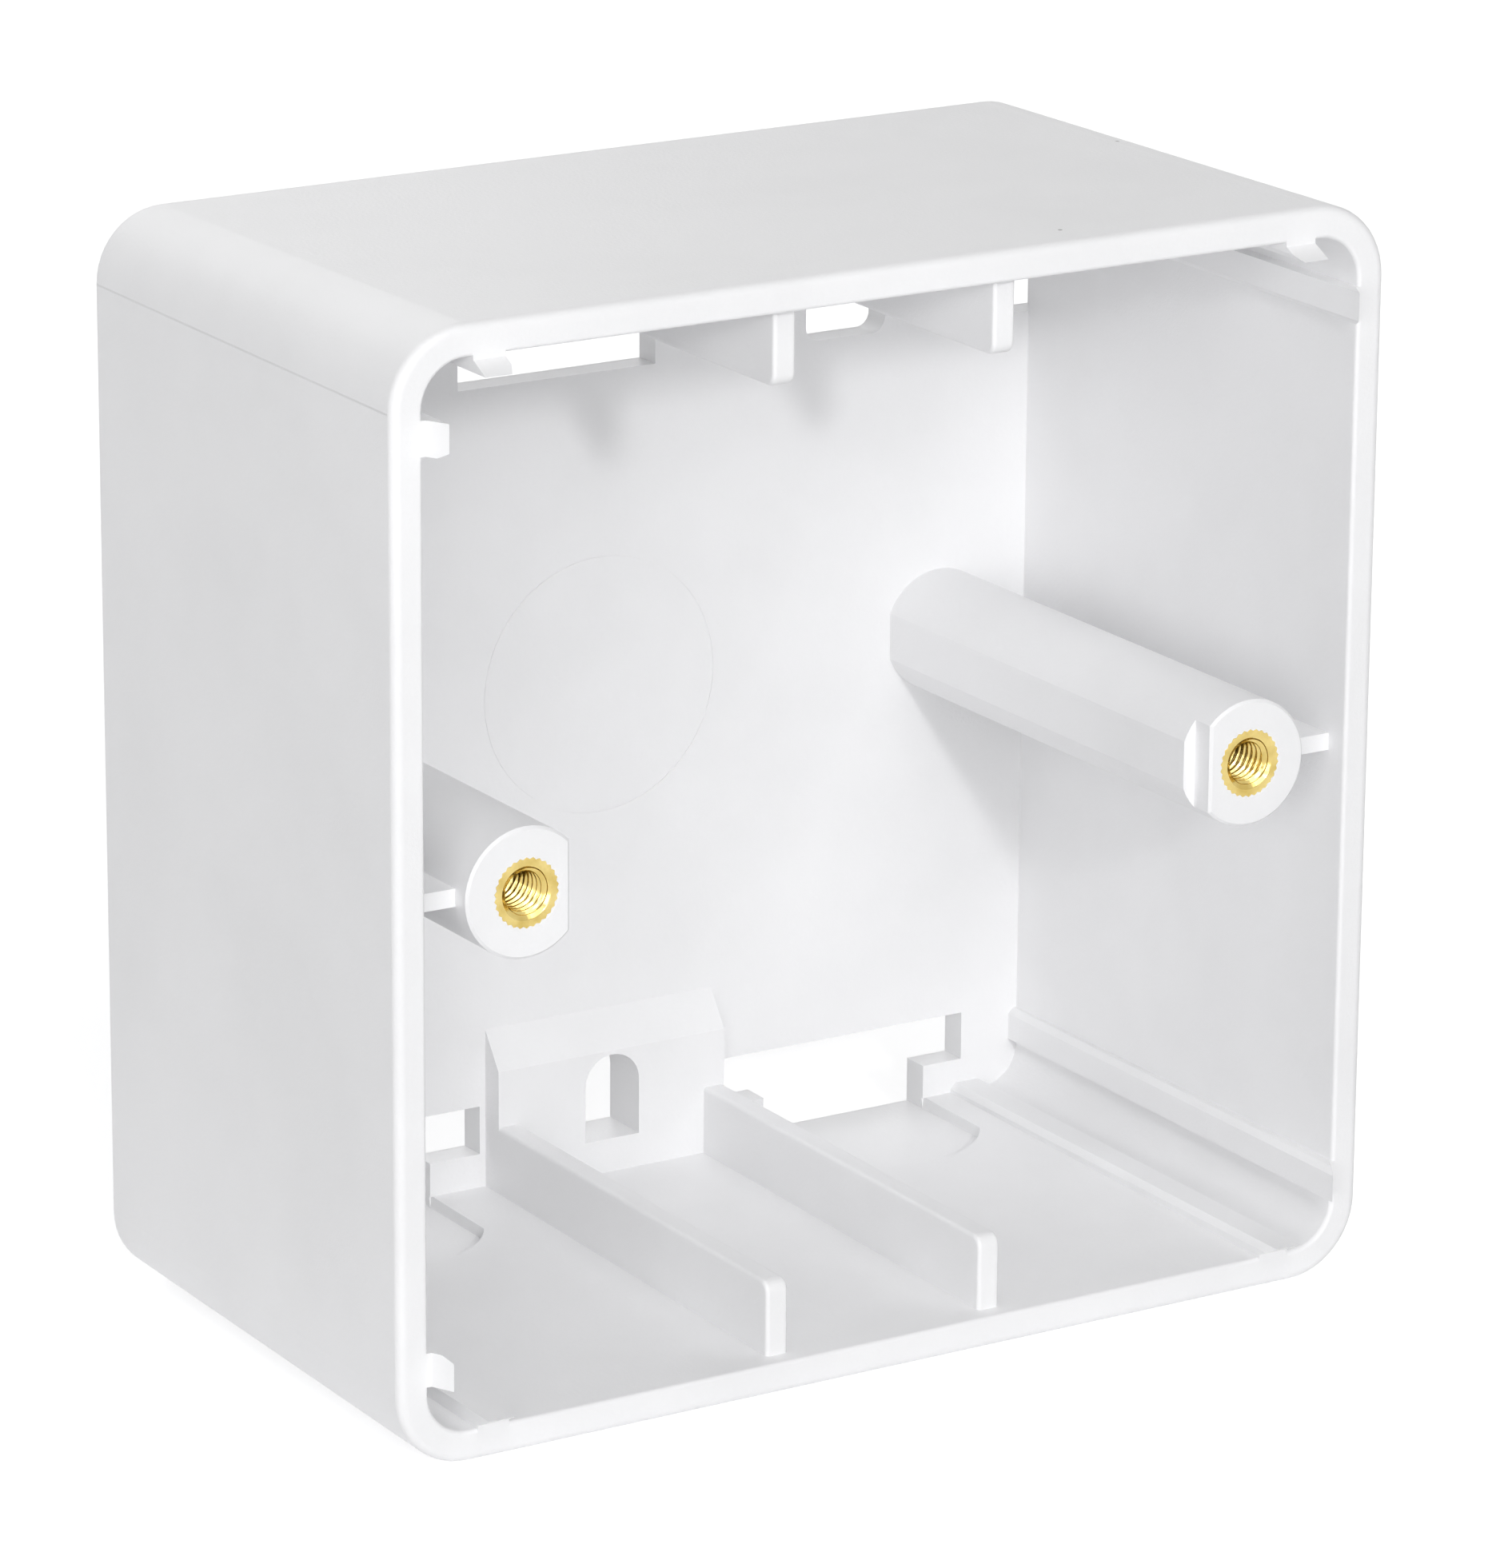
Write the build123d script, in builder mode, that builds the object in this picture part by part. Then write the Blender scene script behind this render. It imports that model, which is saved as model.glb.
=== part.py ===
"""Single-gang surface pattress box: one white moulding with two knurled brass thread inserts.

Frame, in millimetres: +X to the right and +Z up as seen from the open front, which faces -Y.
The wall face lies on y = 0 and the origin is its centre.
"""

from build123d import *
from math import radians, sqrt, tan
import os

# Outside of the moulding
width = 81.3
height = 81.3
depth = 44.0
corner_radius = 5.7
outer_draft = 0.6  # degrees, each side leans in towards the wall
rim_edge_radius = 0.7
wall_face_radius = 0.3

# Walls
wall = 2.35  # at the rim
back_wall = 2.3
inner_draft = 0.5  # degrees
mouth_radius = 0.3

# Cover-screw bosses, one at the middle of each side wall
screw_pitch = 60.3
boss_radius = 4.75
boss_setback = 0.4  # boss faces behind the rim
boss_flat = 4.4  # screw axis to the flat along the boss
boss_face_flat = 3.45  # screw axis to the deeper flat at the boss face
boss_face_flat_depth = 2.0
boss_edge_chamfer = 0.2
boss_edge_angle = 45.0  # degrees
web_thickness = 1.3
web_setback = 2.0

# Brass inserts, held in the bosses by two knurled bands
insert_radius = 2.6
insert_length = 8.0
insert_clearance = 0.02
knurl_teeth = 30
knurl_depth = 0.14
knurl_band = 3.1
thread_minor_radius = 1.45  # M3.5
insert_mouth_radius = 1.98
insert_mouth_depth = 0.4
screw_relief_radius = 1.9
screw_relief_depth = 16.0  # below the insert

# Stiffening ribs, a pair under the top wall and a pair on the bottom wall
rib_spacing = 18.0
rib_thickness = 1.8
rib_height = 5.6
rib_setback = 1.5
rib_corner_radius = 0.9
rib_edge_radius = 0.3

# Cover guides: eight rails along the walls beside the corners, each ending in a wedge proud of the rim
guide_inset = 7.5  # outside of the box to the guide's middle, along the wall
guide_width = 2.5
guide_height = 1.1
guide_root_step = 0.25  # flush strip between the wall and the wedge
guide_rise = 1.65
guide_bevel = 0.45  # along the side away from the corner
guide_embed = 0.8  # how far the guide's profile runs into the wall

# Raised pad at the foot of the wall face, with the fixing slot
pad_rise = 2.0
pad_top = -25.5
pad_ramp = 2.8  # height of the slope from the wall face up to the pad
slot_width = 4.7
slot_top = -28.6
slot_bottom = -35.3

# Centre knock-out, a disc left on a thin web
knockout_radius = 9.9
knockout_line = 0.12
knockout_line_depth = 0.06
knockout_groove = 1.0
knockout_web = 0.6

# Cable windows at the foot of the wall face, each notched down to a thinned tongue in the bottom wall
window_inner = 10.4
window_outer = 32.8
window_top = -31.5
window_bottom = -35.3
tongue_middle = 22.0
tongue_width = 14.6
tongue_reach = 10.1  # wall face to the tongue's corners
tongue_crown = 4.2  # bow of the tongue's front edge
tongue_thickness = 1.4
tongue_side_slope = 12.0  # degrees, lean of the recess sides

# Openings at the head of the wall face
head_sill = 24.0
head_height = 6.0
head_window_left = -12.0
head_window_right = 4.8
head_slot_middle = 21.45
head_slot_width = 7.0
head_slot_radius = 1.1
corner_window_left = 31.5
corner_window_skin = 0.8  # left of the side wall where the window runs under it

# Places worked out from the sizes above
screw_x = screw_pitch / 2
waist_radius = insert_radius - 2 * knurl_depth
knurl_side = 2 * knurl_depth * sqrt(2)  # square turned on its corner, so its tip meets the insert's radius
boss_front = depth - boss_setback
cavity_depth = depth - back_wall
rim_half_width = width / 2 - wall
rim_half_height = height / 2 - wall
back_lean = depth * tan(radians(outer_draft))
cavity_lean = cavity_depth * tan(radians(inner_draft))
floor_half_width = rim_half_width - cavity_lean
floor_half_height = rim_half_height - cavity_lean
bottom_outside_at_back = height / 2 - back_lean
rib_reach = rim_half_height - rib_height
web_reach = rim_half_width + wall / 2
tongue_recess = bottom_outside_at_back - tongue_thickness - floor_half_height
pad_half_width = rib_spacing / 2 + rib_thickness / 2


def wall_plane(distance):
    """Plane parallel to the wall face, a distance in front of it, with its normal to the front."""
    return Plane.XZ.offset(distance)


def guide_plane(turn, along):
    """Plane across a wall: local x points out through the wall and local y to the open front."""
    outward = Vector(1, 0, 0).rotate(Axis.Y, turn)
    sideways = Vector(0, 0, 1).rotate(Axis.Y, turn)
    return Plane(origin=sideways * along, x_dir=outward, z_dir=outward.cross(Vector(0, -1, 0)))


def boss_section(side, flat):
    """Disc round a screw axis with a flat at this distance on its inner side."""
    with Locations((side * screw_x, 0)):
        Circle(boss_radius)
    with Locations((side * (screw_x - flat - boss_radius), 0)):
        Rectangle(2 * boss_radius, 2 * boss_radius, mode=Mode.SUBTRACT)


# Box: shell, cavity, ribs, guides, bosses, pad and every opening are one moulding
with BuildPart() as pattress_box:
    # Shell, widening towards the open front
    with BuildSketch(wall_plane(0)):
        RectangleRounded(width - 2 * back_lean, height - 2 * back_lean, corner_radius - back_lean)
    extrude(amount=depth, taper=-outer_draft)
    fillet(pattress_box.faces().sort_by(Axis.Y)[0].edges(), rim_edge_radius)
    fillet(pattress_box.faces().sort_by(Axis.Y)[-1].edges(), wall_face_radius)

    # Cavity
    with BuildSketch(wall_plane(back_wall)):
        RectangleRounded(
            2 * floor_half_width,
            2 * floor_half_height,
            corner_radius - wall - cavity_lean,
        )
    extrude(amount=cavity_depth, taper=-inner_draft, mode=Mode.SUBTRACT)
    rim = pattress_box.faces().sort_by(Axis.Y)[0]
    fillet(rim.inner_wires().edges(), mouth_radius)

    # Ribs, drawn from the side: each springs from the wall face and stops short of the rim
    for x in (-rib_spacing / 2, rib_spacing / 2):
        for up in (-1, 1):
            with BuildSketch(Plane.YZ.offset(x)):
                with BuildLine():
                    Polyline(
                        (-back_wall / 2, up * (rim_half_height + wall / 2)),
                        (-(depth - rib_setback), up * (rim_half_height + wall / 2)),
                        (-(depth - rib_setback), up * rib_reach),
                        (-back_wall / 2, up * rib_reach),
                        close=True,
                    )
                make_face()
            extrude(amount=rib_thickness / 2, both=True)
    rib_faces = pattress_box.faces().filter_by(Plane.XZ).filter_by_position(
        Axis.Y, -(depth - rib_setback) - mouth_radius, -(depth - rib_setback) + mouth_radius
    )
    fillet(
        rib_faces.edges().filter_by(Axis.X).filter_by_position(Axis.Z, -rib_reach, rib_reach),
        rib_corner_radius,
    )
    free_edges = pattress_box.edges().filter_by(Axis.Y).filter_by_position(
        Axis.Z, -rib_reach - mouth_radius, rib_reach + mouth_radius
    )
    fillet(free_edges, rib_edge_radius)

    # Guides beside the corners of all four walls
    for turn in (0, 90, 180, 270):
        across = width if turn % 180 else height
        half = rim_half_height if turn % 180 else rim_half_width
        for side in (-1, 1):
            with BuildSketch(guide_plane(turn, side * (across / 2 - guide_inset))):
                with BuildLine():
                    Polyline(
                        (half - guide_height, back_wall / 2),
                        (half - guide_height, depth + guide_rise),
                        (half - guide_root_step, depth),
                        (half + guide_embed, depth),
                        (half + guide_embed - cavity_lean, back_wall / 2),
                        close=True,
                    )
                make_face()
            extrude(amount=guide_width / 2, both=True)
            long_edges = pattress_box.edges(Select.LAST).filter_by(Axis.Y)
            chamfer(long_edges.sort_by_distance((0, -depth / 2, 0))[0], guide_bevel)

    # Bosses with their flats, and the webs that tie them to the side walls
    for side in (-1, 1):
        with BuildSketch(wall_plane(back_wall / 2)):
            boss_section(side, boss_flat)
        extrude(amount=boss_front - boss_face_flat_depth - back_wall / 2)
        with BuildSketch(wall_plane(boss_front - boss_face_flat_depth)):
            boss_section(side, boss_face_flat)
        extrude(amount=boss_face_flat_depth - boss_edge_chamfer)
        with BuildSketch(wall_plane(boss_front - boss_edge_chamfer)):
            boss_section(side, boss_face_flat)
        extrude(amount=boss_edge_chamfer, taper=boss_edge_angle)
        with BuildSketch(wall_plane(back_wall / 2)):
            with Locations((side * (screw_x + web_reach) / 2, 0)):
                Rectangle(web_reach - screw_x, web_thickness)
        extrude(amount=depth - web_setback - back_wall / 2)

    # Pad from rib to rib at the foot, drawn from the side with its sloped head
    with BuildSketch(Plane.YZ):
        with BuildLine():
            pad_foot = -(floor_half_height + wall / 2)
            Polyline(
                (-back_wall / 2, pad_foot),
                (-back_wall / 2, pad_top),
                (-back_wall, pad_top),
                (-(back_wall + pad_rise), pad_top - pad_ramp),
                (-(back_wall + pad_rise), pad_foot),
                close=True,
            )
        make_face()
    extrude(amount=pad_half_width, both=True)

    # Insert pockets and the screw reliefs under them
    with Locations(*[Location(Plane(
        origin=(side * screw_x, -boss_front, 0), z_dir=(0, -1, 0))) for side in (-1, 1)]):
        CounterBoreHole(
            radius=screw_relief_radius,
            counter_bore_radius=insert_radius + insert_clearance,
            counter_bore_depth=insert_length,
            depth=insert_length + screw_relief_depth,
        )

    # Fixing slot with a round head
    with BuildSketch(wall_plane(0)):
        slot_crown = slot_top - slot_width / 2
        with Locations((0, (slot_crown + slot_bottom) / 2)):
            Rectangle(slot_width, slot_crown - slot_bottom)
        with Locations((0, slot_crown)):
            Circle(slot_width / 2)
    extrude(amount=back_wall + pad_rise, mode=Mode.SUBTRACT)

    # Cable windows with their notches, and the recesses that thin the bottom wall to tongues
    tongue_face = tongue_thickness - bottom_outside_at_back
    for side in (-1, 1):
        with BuildSketch(wall_plane(0)):
            with Locations((side * (window_inner + window_outer) / 2, (window_top + window_bottom) / 2)):
                Rectangle(window_outer - window_inner, window_top - window_bottom)
            with Locations((side * tongue_middle, (window_top + tongue_face) / 2)):
                Rectangle(tongue_width, window_top - tongue_face)
        extrude(amount=back_wall, mode=Mode.SUBTRACT)
        tongue_left = side * tongue_middle - tongue_width / 2
        tongue_right = side * tongue_middle + tongue_width / 2
        with BuildSketch(Plane.XY.offset(tongue_face)):
            with BuildLine():
                Polyline(
                    (tongue_left, -tongue_reach),
                    (tongue_left, -back_wall),
                    (tongue_right, -back_wall),
                    (tongue_right, -tongue_reach),
                )
                ThreePointArc(
                    (tongue_right, -tongue_reach),
                    (side * tongue_middle, -tongue_reach - tongue_crown),
                    (tongue_left, -tongue_reach),
                )
            make_face()
        extrude(
            amount=tongue_recess,
            taper=-tongue_side_slope,
            mode=Mode.SUBTRACT,
        )

    # Openings at the head
    with BuildSketch(wall_plane(0)):
        head_middle = head_sill + head_height / 2
        with Locations(((head_window_left + head_window_right) / 2, head_middle)):
            Rectangle(head_window_right - head_window_left, head_height)
        with Locations((head_slot_middle, head_middle)):
            RectangleRounded(head_slot_width, head_height, head_slot_radius)
        corner_window_right = width / 2 - back_lean - corner_window_skin
        with Locations(((corner_window_left + corner_window_right) / 2, head_middle)):
            Rectangle(corner_window_right - corner_window_left, head_height)
    extrude(amount=back_wall, mode=Mode.SUBTRACT)

    # Centre knock-out: a fine line inside and a groove behind leave the thin web
    with BuildSketch(wall_plane(back_wall - knockout_line_depth)):
        Circle(knockout_radius + knockout_line / 2)
        Circle(knockout_radius - knockout_line / 2, mode=Mode.SUBTRACT)
    extrude(amount=knockout_line_depth, mode=Mode.SUBTRACT)
    with BuildSketch(wall_plane(0)):
        Circle(knockout_radius + knockout_groove / 2)
        Circle(knockout_radius - knockout_groove / 2, mode=Mode.SUBTRACT)
    extrude(amount=back_wall - knockout_line_depth - knockout_web, mode=Mode.SUBTRACT)


def sleeve_plane(x, start):
    """Plane across an insert, a distance behind its face, with its normal to the wall."""
    return Plane(origin=(x, start - boss_front, 0), x_dir=(1, 0, 0), z_dir=(0, 1, 0))


def threaded_insert(name, x):
    """Turned brass sleeve with a knurled band at each end and a smooth waist between them."""
    with BuildPart() as sleeve:
        with BuildSketch(sleeve_plane(x, 0)):
            Circle(waist_radius)
        extrude(amount=insert_length)
        for start in (0, insert_length - knurl_band):
            with BuildSketch(sleeve_plane(x, start)):
                Circle(insert_radius - knurl_depth)
                with PolarLocations(waist_radius, knurl_teeth):
                    Rectangle(knurl_side, knurl_side, rotation=45)
            extrude(amount=knurl_band)
        with Locations(Location(Plane(origin=(x, -boss_front, 0), z_dir=(0, -1, 0)))):
            Hole(thread_minor_radius)
        mouth = sleeve.edges().filter_by(GeomType.CIRCLE).filter_by(
            lambda edge: abs(edge.radius - thread_minor_radius) < knurl_depth
        ).sort_by(Axis.Y)[0]
        chamfer(mouth, insert_mouth_depth, insert_mouth_radius - thread_minor_radius)
    sleeve.part.label = name
    return sleeve.part


os.makedirs("parts", exist_ok=True)
pattress_box.part.label = "pattress_box"
export_step(pattress_box.part, "parts/pattress_box.step")
for name, x in (("insert_left", -screw_x), ("insert_right", screw_x)):
    export_step(threaded_insert(name, x), f"parts/{name}.step")
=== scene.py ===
import bpy
import numpy as np
from mathutils import Matrix, Vector


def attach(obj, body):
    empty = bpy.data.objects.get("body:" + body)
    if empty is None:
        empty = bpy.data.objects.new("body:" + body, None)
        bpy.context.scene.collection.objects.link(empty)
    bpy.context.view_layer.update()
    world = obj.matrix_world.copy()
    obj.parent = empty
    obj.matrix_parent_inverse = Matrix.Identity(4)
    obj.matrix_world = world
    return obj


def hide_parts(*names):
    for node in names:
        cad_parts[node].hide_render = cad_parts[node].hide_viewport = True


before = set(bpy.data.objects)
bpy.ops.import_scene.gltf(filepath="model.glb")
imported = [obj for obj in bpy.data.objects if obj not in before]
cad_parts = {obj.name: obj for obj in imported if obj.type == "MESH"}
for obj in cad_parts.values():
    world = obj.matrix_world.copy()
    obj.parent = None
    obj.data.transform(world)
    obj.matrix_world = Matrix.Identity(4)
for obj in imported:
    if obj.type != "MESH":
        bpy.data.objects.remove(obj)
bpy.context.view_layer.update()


# The box: one white moulding in urea plastic. Its tool is spark-eroded, so the faces come out
# with a fine satin grain, and the flow of the melt leaves faint clouds and a little dust in it.

def linear(hex_code):
    """Linear colour of an sRGB hex: channel/12.92 when dark, else ((channel + 0.055)/1.055) to the 2.4."""
    channel = np.array([int(hex_code[i:i + 2], 16) for i in (1, 3, 5)]) / 255
    value = np.where(channel <= 0.04045, channel / 12.92, ((channel + 0.055) / 1.055) ** 2.4)
    return (*value.tolist(), 1.0)


def add(tree, kind, settings=None, links=None):
    """Adds a node. Settings name its input sockets or its own properties; links feed its inputs."""
    node = tree.nodes.new(kind)
    for key, value in (settings or {}).items():
        if isinstance(key, str) and hasattr(node, key):
            setattr(node, key, value)
        else:
            node.inputs[key].default_value = value
    for key, socket in (links or {}).items():
        tree.links.new(socket, node.inputs[key])
    return node


def new_material(name):
    """An empty node material and its output node."""
    material = bpy.data.materials.new(name)
    material.use_nodes = True
    material.node_tree.nodes.clear()
    return material, material.node_tree, add(material.node_tree, "ShaderNodeOutputMaterial")


# Lengths are in mm, here and below.

urea_dull = linear("#F3F3F4")
urea_bright = linear("#F9F9FA")
cloud_size = 22.0
urea_roughness = (0.34, 0.44)
grain_size = 0.28  # real grain is about 0.1 mm and wouldn't show
grain_depth = 0.045
dust_grey = linear("#8E8C8A")
dust_cell = 9.0
dust_speck = 0.16
dust_free = 0.55  # share of the cells that hold no speck
line_height = 34.95  # where the flat sides meet the upper corners
line_step = 0.12  # the sides stand proud of the corners
line_width = 0.2
sides_from = 39.2  # the outer sides lie further out than this
line_front = -43.4  # the line ends behind the rim's rounding

# Moulded urea is near white. The eye gets a soft sheen with no clear reflection in it, a faint
# mottle, a grey speck here and there, and one fine line along the top of each outer side.

moulded_urea, tree, output = new_material("moulded_white_urea")
place = add(tree, "ShaderNodeTexCoord").outputs["Object"]
clouds = add(tree, "ShaderNodeTexNoise", {
    "Scale": 1000 / cloud_size,
    "Detail": 3.0,
    "Roughness": 0.55,
}, {"Vector": place})
tint = add(tree, "ShaderNodeValToRGB", {}, {"Fac": clouds.outputs["Fac"]})
tint.color_ramp.elements[0].position = 0.35
tint.color_ramp.elements[0].color = urea_dull
tint.color_ramp.elements[1].position = 0.65
tint.color_ramp.elements[1].color = urea_bright

cells = add(tree, "ShaderNodeTexVoronoi", {"Scale": 1000 / dust_cell}, {"Vector": place})
near = add(tree, "ShaderNodeMath", {"operation": "LESS_THAN", 1: dust_speck / dust_cell},
           {0: cells.outputs["Distance"]})
chosen = add(tree, "ShaderNodeSeparateColor", {}, {"Color": cells.outputs["Color"]})
rare = add(tree, "ShaderNodeMath", {"operation": "GREATER_THAN", 1: dust_free},
           {0: chosen.outputs["Red"]})
speck = add(tree, "ShaderNodeMath", {"operation": "MULTIPLY"}, {
    0: near.outputs["Value"],
    1: rare.outputs["Value"],
})
colour = add(tree, "ShaderNodeMix", {"data_type": "RGBA"}, {0: speck.outputs["Value"]})
tree.links.new(tint.outputs["Color"], colour.inputs[6])
colour.inputs[7].default_value = dust_grey

sheen = add(tree, "ShaderNodeMapRange", {
    "To Min": urea_roughness[0],
    "To Max": urea_roughness[1],
}, {"Value": clouds.outputs["Fac"]})
satin = add(tree, "ShaderNodeTexNoise", {
    "Scale": 1000 / grain_size,
    "Detail": 2.0,
    "Roughness": 0.6,
}, {"Vector": place})
relief = add(tree, "ShaderNodeBump", {"Strength": 0.5, "Distance": grain_depth / 1000},
             {"Height": satin.outputs["Fac"]})

along = add(tree, "ShaderNodeSeparateXYZ", {}, {"Vector": place})
sideways = add(tree, "ShaderNodeMath", {"operation": "ABSOLUTE"}, {0: along.outputs["X"]})
outside = add(tree, "ShaderNodeMath", {"operation": "GREATER_THAN", 1: sides_from / 1000},
              {0: sideways.outputs["Value"]})
behind_rim = add(tree, "ShaderNodeMath", {"operation": "GREATER_THAN", 1: line_front / 1000},
                 {0: along.outputs["Y"]})
below_line = add(tree, "ShaderNodeMapRange", {
    "interpolation_type": "SMOOTHSTEP",
    "From Min": (line_height - line_width / 2) / 1000,
    "From Max": (line_height + line_width / 2) / 1000,
    "To Min": 1.0,
    "To Max": 0.0,
}, {"Value": along.outputs["Z"]})
on_side = add(tree, "ShaderNodeMath", {"operation": "MULTIPLY"}, {
    0: outside.outputs["Value"],
    1: behind_rim.outputs["Value"],
})
side_face = add(tree, "ShaderNodeMath", {"operation": "MULTIPLY"}, {
    0: on_side.outputs["Value"],
    1: below_line.outputs["Result"],
})
lip = add(tree, "ShaderNodeBump", {"Strength": 1.0, "Distance": line_step / 1000}, {
    "Height": side_face.outputs["Value"],
    "Normal": relief.outputs["Normal"],
})
shader = add(tree, "ShaderNodeBsdfPrincipled", {"IOR": 1.52}, {
    "Base Color": colour.outputs[2],
    "Roughness": sheen.outputs["Result"],
    "Normal": lip.outputs["Normal"],
})
tree.links.new(shader.outputs["BSDF"], output.inputs["Surface"])

box_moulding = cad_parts["pattress_box"]
for slot in box_moulding.material_slots:
    slot.material = moulded_urea


# The inserts: brass sleeves turned from bar, knurled outside in two bands and tapped M3.5.
# They are pressed into the hot bosses, flush with their faces, and the plastic grips the knurl.

screw_x = 30.15
boss_front = -43.6
insert_length = 8.0
insert_radius = 2.6
edge_length = 0.08
edge_drop = 0.06
knurl_teeth = 30
steps_per_tooth = 6
knurl_depth = 0.14
knurl_band = 3.1
knurl_runout = 0.1
waist_drop = 0.3
mouth_radius = 1.98
mouth_depth = 0.4
thread_pitch = 0.6
thread_minor = 1.45
thread_major = 1.8
bore_rings = 174


def insert_mesh(name, centre):
    """A closed sleeve on a grid of angle and length along its section.

    The section goes down the outside, across the back, up the bore and across the face. Outside, the
    radius drops by a triangle wave of the angle; in the bore it is the minor radius plus a thread,
    a cosine of depth/pitch + angle/turn, or the mouth's cone where that is wider.
    """
    steps = knurl_teeth * steps_per_tooth
    around = np.arange(steps) * 2 * np.pi / steps
    outside = np.array([
        0.0,
        edge_length,
        knurl_band - knurl_runout,
        knurl_band,
        insert_length - knurl_band,
        insert_length - knurl_band + knurl_runout,
        insert_length - edge_length,
        insert_length,
    ])
    drop = np.array([edge_drop, 0.0, 0.0, waist_drop, waist_drop, 0.0, 0.0, edge_drop])
    wave = np.abs((around[:, None] * knurl_teeth / (2 * np.pi)) % 1 - 0.5) * 2
    cut = np.where(drop >= waist_drop, 0.0, knurl_depth) * wave
    outer_r = insert_radius - drop - cut
    inside = np.linspace(insert_length, 0.0, bore_rings)
    phase = inside[None, :] / thread_pitch + around[:, None] / (2 * np.pi)
    tooth = 0.5 - 0.5 * np.cos(2 * np.pi * phase)
    cone = mouth_radius - (mouth_radius - thread_minor) * inside[None, :] / mouth_depth
    bore_r = np.maximum(thread_minor + (thread_major - thread_minor) * tooth, cone)
    radius = np.concatenate([outer_r, bore_r], axis=1)
    depth = np.broadcast_to(np.concatenate([outside, inside]), radius.shape)
    points = np.stack([
        centre + radius * np.cos(around)[:, None],
        boss_front + depth,
        radius * np.sin(around)[:, None],
    ], axis=-1) / 1000
    rows, columns = radius.shape
    index = np.arange(rows * columns).reshape(rows, columns)
    after = np.roll(index, -1, axis=0)
    faces = np.stack([index, after, np.roll(after, -1, axis=1), np.roll(index, -1, axis=1)], axis=-1)
    mesh = bpy.data.meshes.new(name)
    mesh.from_pydata(points.reshape(-1, 3), [], faces.reshape(-1, 4))
    smooth = np.zeros((rows, columns), bool)
    smooth[:, len(outside):-1] = True
    mesh.polygons.foreach_set("use_smooth", smooth.ravel())
    mesh.update()
    return mesh


brass_deep = linear("#CAB064")
brass_pale = linear("#E3CE88")
brass_roughness = (0.08, 0.16)
stain_size = 1.6

# Turned brass is bare metal, cut bright. The eye gets narrow glints along the thread and on the
# knurl's tips, and a light stain that takes the yellow from deep to pale.

turned_brass, tree, output = new_material("turned_brass")
place = add(tree, "ShaderNodeTexCoord").outputs["Object"]
stain = add(tree, "ShaderNodeTexNoise", {"Scale": 1000 / stain_size, "Detail": 3.0}, {"Vector": place})
tone = add(tree, "ShaderNodeValToRGB", {}, {"Fac": stain.outputs["Fac"]})
tone.color_ramp.elements[0].position = 0.3
tone.color_ramp.elements[0].color = brass_deep
tone.color_ramp.elements[1].position = 0.7
tone.color_ramp.elements[1].color = brass_pale
polish = add(tree, "ShaderNodeMapRange", {
    "To Min": brass_roughness[0],
    "To Max": brass_roughness[1],
}, {"Value": stain.outputs["Fac"]})
shader = add(tree, "ShaderNodeBsdfPrincipled", {"Metallic": 1.0}, {
    "Base Color": tone.outputs["Color"],
    "Roughness": polish.outputs["Result"],
})
tree.links.new(shader.outputs["BSDF"], output.inputs["Surface"])

for node, centre in (("insert_left", -screw_x), ("insert_right", screw_x)):
    mesh = insert_mesh("threaded_" + node, centre)
    mesh.materials.append(turned_brass)
    sleeve = bpy.data.objects.new("threaded_" + node, mesh)
    bpy.context.scene.collection.objects.link(sleeve)
    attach(sleeve, "root")
    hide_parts(node)


# The collars: plastic that the hot brass squeezed up between its teeth. One thin ring lies round
# each insert, just below the boss face, so only the tips of the knurl show.

collar_inner = 2.3
collar_outer = 2.66
collar_drop = 0.02
collar_height = 1.0
collar_steps = 120


def collar_mesh(name, centre):
    """A closed ring of rectangular section: four circles round the insert's axis, joined in turn."""
    around = np.arange(collar_steps) * 2 * np.pi / collar_steps
    radius = np.array([collar_outer, collar_outer, collar_inner, collar_inner])
    depth = np.array([collar_drop, collar_height, collar_height, collar_drop])
    points = np.stack(np.broadcast_arrays(
        centre + radius * np.cos(around)[:, None],
        boss_front + depth,
        radius * np.sin(around)[:, None],
    ), axis=-1) / 1000
    index = np.arange(collar_steps * 4).reshape(collar_steps, 4)
    after = np.roll(index, -1, axis=0)
    faces = np.stack([index, after, np.roll(after, -1, axis=1), np.roll(index, -1, axis=1)], axis=-1)
    mesh = bpy.data.meshes.new(name)
    mesh.from_pydata(points.reshape(-1, 3), [], faces.reshape(-1, 4))
    return mesh


for name, centre in (("collar_left", -screw_x), ("collar_right", screw_x)):
    mesh = collar_mesh(name, centre)
    mesh.materials.append(moulded_urea)
    collar = bpy.data.objects.new(name, mesh)
    bpy.context.scene.collection.objects.link(collar)
    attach(collar, "root")


# The set: a matt white sweep. The box stands on it on its bottom wall, and the sweep curves up
# well behind it into a plain backdrop.

floor_height = -40.65
sweep_half_width = 2200.0
sweep_front = -1800.0
curve_start = 700.0
sweep_radius = 500.0
sweep_top = 2400.0  # above the floor
curve_steps = 33
glow_near = 0.62
glow_far = 0.9
glow_from = 200.0  # from the box's middle
glow_to = 900.0


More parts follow.
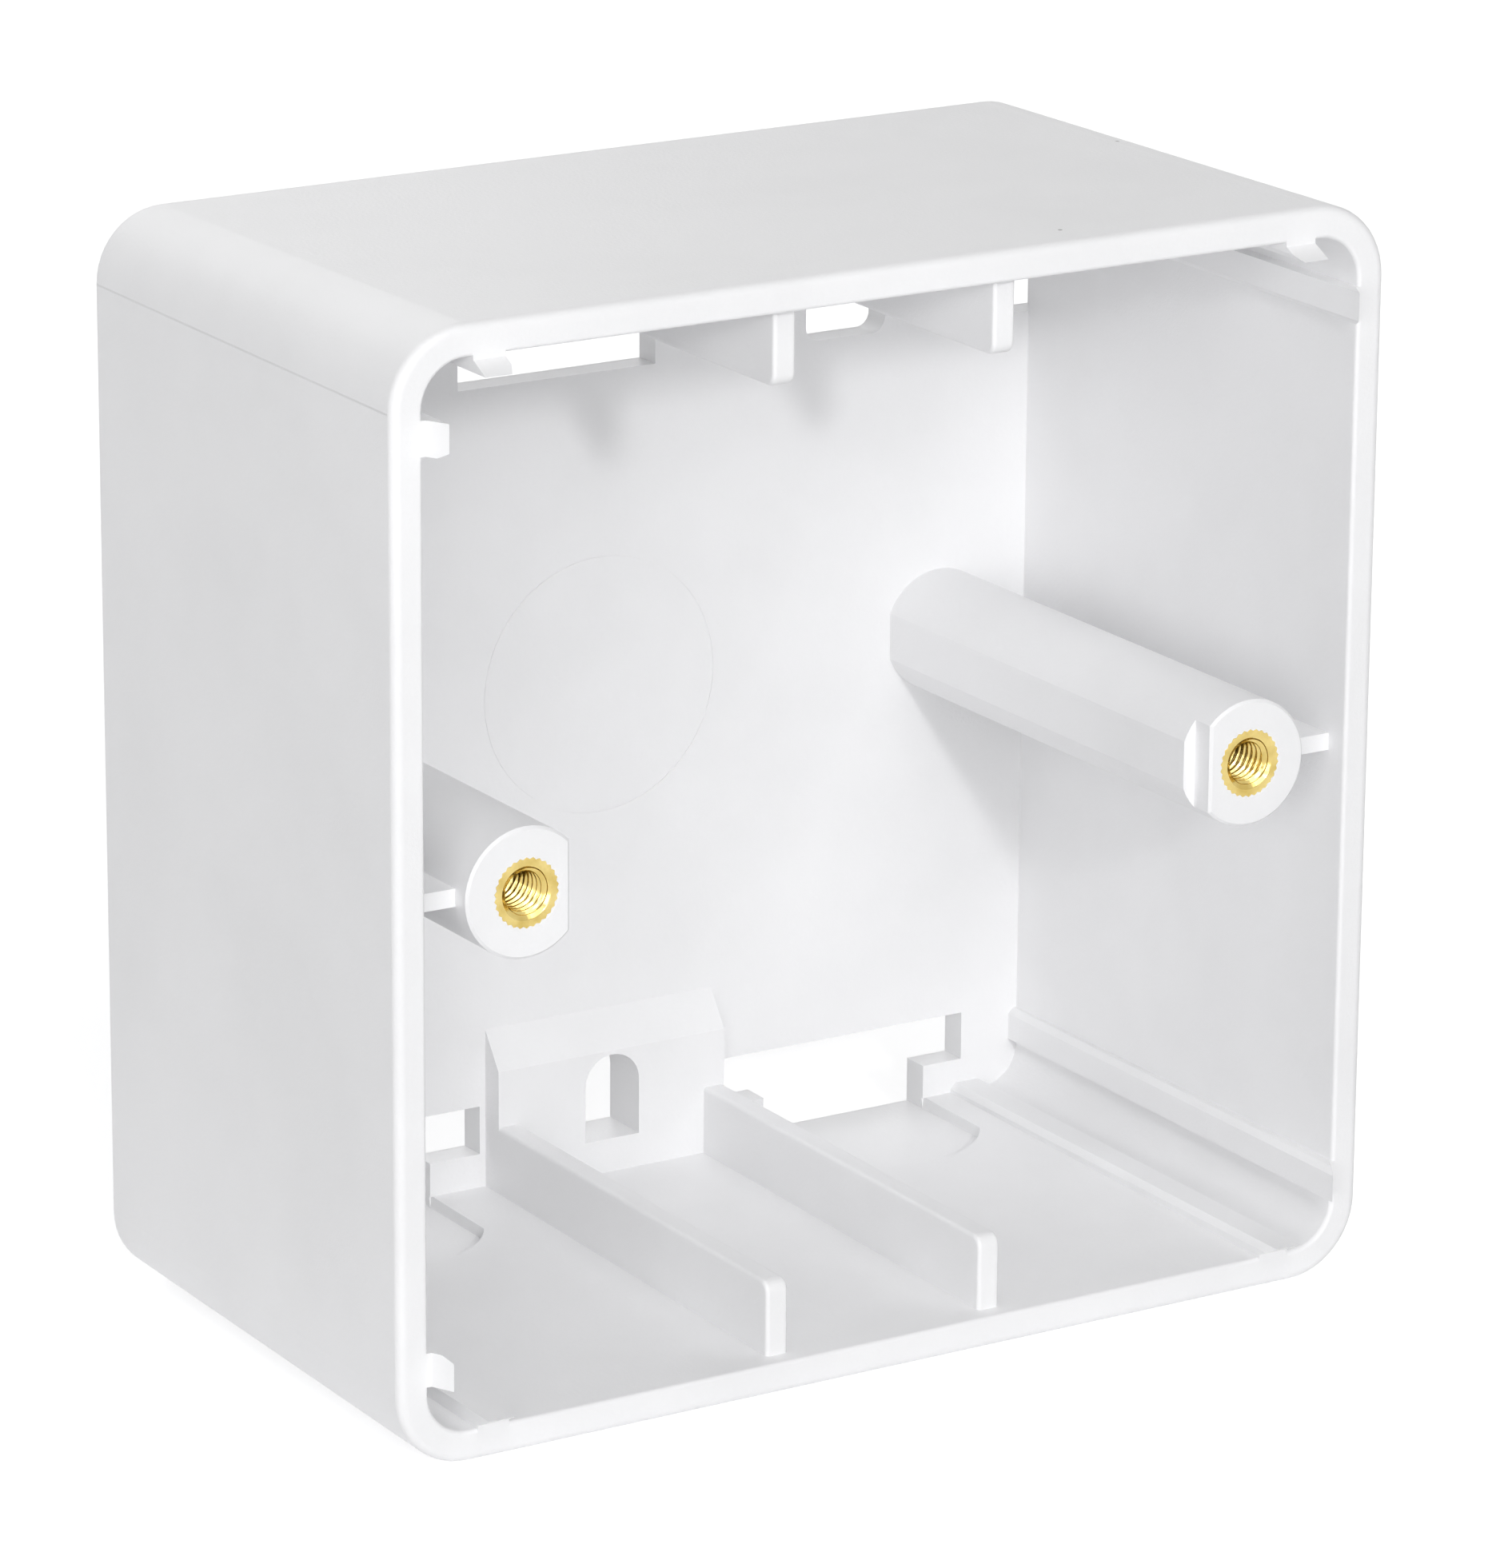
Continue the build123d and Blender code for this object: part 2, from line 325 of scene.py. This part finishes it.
def sweep_mesh():
    """Profile of floor, quarter circle and wall, carried straight along X."""
    turn = np.linspace(0, np.pi / 2, curve_steps)
    y = np.concatenate([
        [sweep_front],
        curve_start + sweep_radius * np.sin(turn),
        [curve_start + sweep_radius],
    ])
    z = np.concatenate([[0.0], sweep_radius * (1 - np.cos(turn)), [sweep_top]]) + floor_height
    x = np.array([-sweep_half_width, sweep_half_width])
    points = np.stack(np.broadcast_arrays(x[:, None], y[None, :], z[None, :]), axis=-1) / 1000
    index = np.arange(points.shape[0] * points.shape[1]).reshape(points.shape[:2])
    faces = np.stack([index[:-1, :-1], index[1:, :-1], index[1:, 1:], index[:-1, 1:]], axis=-1)
    mesh = bpy.data.meshes.new("sweep")
    mesh.from_pydata(points.reshape(-1, 3), [], faces.reshape(-1, 4))
    mesh.polygons.foreach_set("use_smooth", np.ones(len(mesh.polygons), bool))
    return mesh


def seen_directly(tree):
    """1 for rays from the camera, off gloss or through glass, 0 for the rest."""
    path = add(tree, "ShaderNodeLightPath")
    total = add(tree, "ShaderNodeMath", {"operation": "ADD", "use_clamp": True}, {
        0: path.outputs["Is Camera Ray"],
        1: path.outputs["Is Glossy Ray"],
    })
    return add(tree, "ShaderNodeMath", {"operation": "ADD", "use_clamp": True}, {
        0: total.outputs["Value"],
        1: path.outputs["Is Transmission Ray"],
    }).outputs["Value"]


# Matt paper has no gloss and takes the box's soft shadow. A glow that lights nothing is added to
# it for the eye, less under the box and more far off, so that it burns out to plain white.

matt_paper, tree, output = new_material("matt_white_paper")
paper = add(tree, "ShaderNodeBsdfDiffuse", {"Color": linear("#F2F2F3")})
place = add(tree, "ShaderNodeTexCoord").outputs["Object"]
away = add(tree, "ShaderNodeVectorMath", {"operation": "LENGTH"}, {0: place})
fade = add(tree, "ShaderNodeMapRange", {
    "From Min": glow_from / 1000,
    "From Max": glow_to / 1000,
    "To Min": glow_near,
    "To Max": glow_far,
}, {"Value": away.outputs["Value"]})
lift = add(tree, "ShaderNodeMath", {"operation": "MULTIPLY"}, {
    0: seen_directly(tree),
    1: fade.outputs["Result"],
})
burnt_out = add(tree, "ShaderNodeEmission", {}, {"Strength": lift.outputs["Value"]})
white = add(tree, "ShaderNodeAddShader", {}, {
    0: paper.outputs["BSDF"],
    1: burnt_out.outputs["Emission"],
})
tree.links.new(white.outputs["Shader"], output.inputs["Surface"])
sweep = bpy.data.objects.new("sweep", sweep_mesh())
sweep.data.materials.append(matt_paper)
bpy.context.scene.collection.objects.link(sweep)


# The light: a small soft box in front of the open face, high and a little to the left, whose
# shadows fall on the wall face, and six wide ones round it that fill them. The room is white to
# the eye and in reflections, and lights nothing.

lamp_aim = Vector((0, -0.02, 0))  # in metres


def soft_box(name, towards, distance, side, power):
    """Square area lamp along a direction from the aim point and facing it, in metres and watts."""
    data = bpy.data.lights.new(name, "AREA")
    data.shape = "SQUARE"
    data.size = side
    data.energy = power
    lamp = bpy.data.objects.new(name, data)
    bpy.context.scene.collection.objects.link(lamp)
    way = Vector(towards).normalized()
    lamp.location = lamp_aim + way * distance
    lamp.rotation_euler = way.to_track_quat("Z", "Y").to_euler()
    lamp.visible_camera = False


soft_box("key", towards=(-0.25, -1.0, 0.41), distance=1.6, side=0.1, power=4.85)
soft_box("key_spread", towards=(-0.25, -1.0, 0.35), distance=1.6, side=0.7, power=3.6)
soft_box("high_front", towards=(-0.1, -1.0, 0.9), distance=1.3, side=0.8, power=3.2)
soft_box("left_front", towards=(-1.0, -0.9, 0.1), distance=1.2, side=0.8, power=6.4)
soft_box("left_side", towards=(-1.0, 0.1, 0.35), distance=1.2, side=0.8, power=1.1)
soft_box("top", towards=(0.0, -0.4, 1.0), distance=1.2, side=1.0, power=2.8)
soft_box("back", towards=(0.1, 1.0, 0.7), distance=1.2, side=1.0, power=3.2)

world = bpy.data.worlds.new("white_room")
world.use_nodes = True
tree = world.node_tree
tree.links.new(seen_directly(tree), tree.nodes["Background"].inputs["Strength"])
tree.nodes["Background"].inputs["Color"].default_value = linear("#FFFFFF")
bpy.context.scene.world = world
bpy.context.scene.view_settings.view_transform = "Standard"


# The camera: a long lens looking down on the box from its open side and the left.

camera_turn = np.radians(31.759)
camera_pitch = np.radians(17.029)
camera_roll = np.radians(0.381)
camera_distance = 564.54
focal_pixels = 9707.0
frame_pixels = 1961  # height of the photograph's frame
sensor_height = 36.0
aim = Vector((0, -20, 0))
image_offset = Vector((1.963, -2.980, 0))

turn = (
    Matrix.Rotation(-camera_turn, 3, "Z")
    @ Matrix.Rotation(np.pi / 2 - camera_pitch, 3, "X")
    @ Matrix.Rotation(camera_roll, 3, "Z")
)
lens = bpy.data.cameras.new("camera")
lens.sensor_fit = "VERTICAL"
lens.sensor_height = sensor_height
lens.lens = focal_pixels * sensor_height / frame_pixels
lens.clip_start = 0.01
lens.clip_end = 20.0
camera = bpy.data.objects.new("camera", lens)
bpy.context.scene.collection.objects.link(camera)
eye = aim + turn @ (image_offset + Vector((0, 0, camera_distance)))
camera.matrix_world = Matrix.Translation(eye / 1000) @ turn.to_4x4()
bpy.context.scene.camera = camera
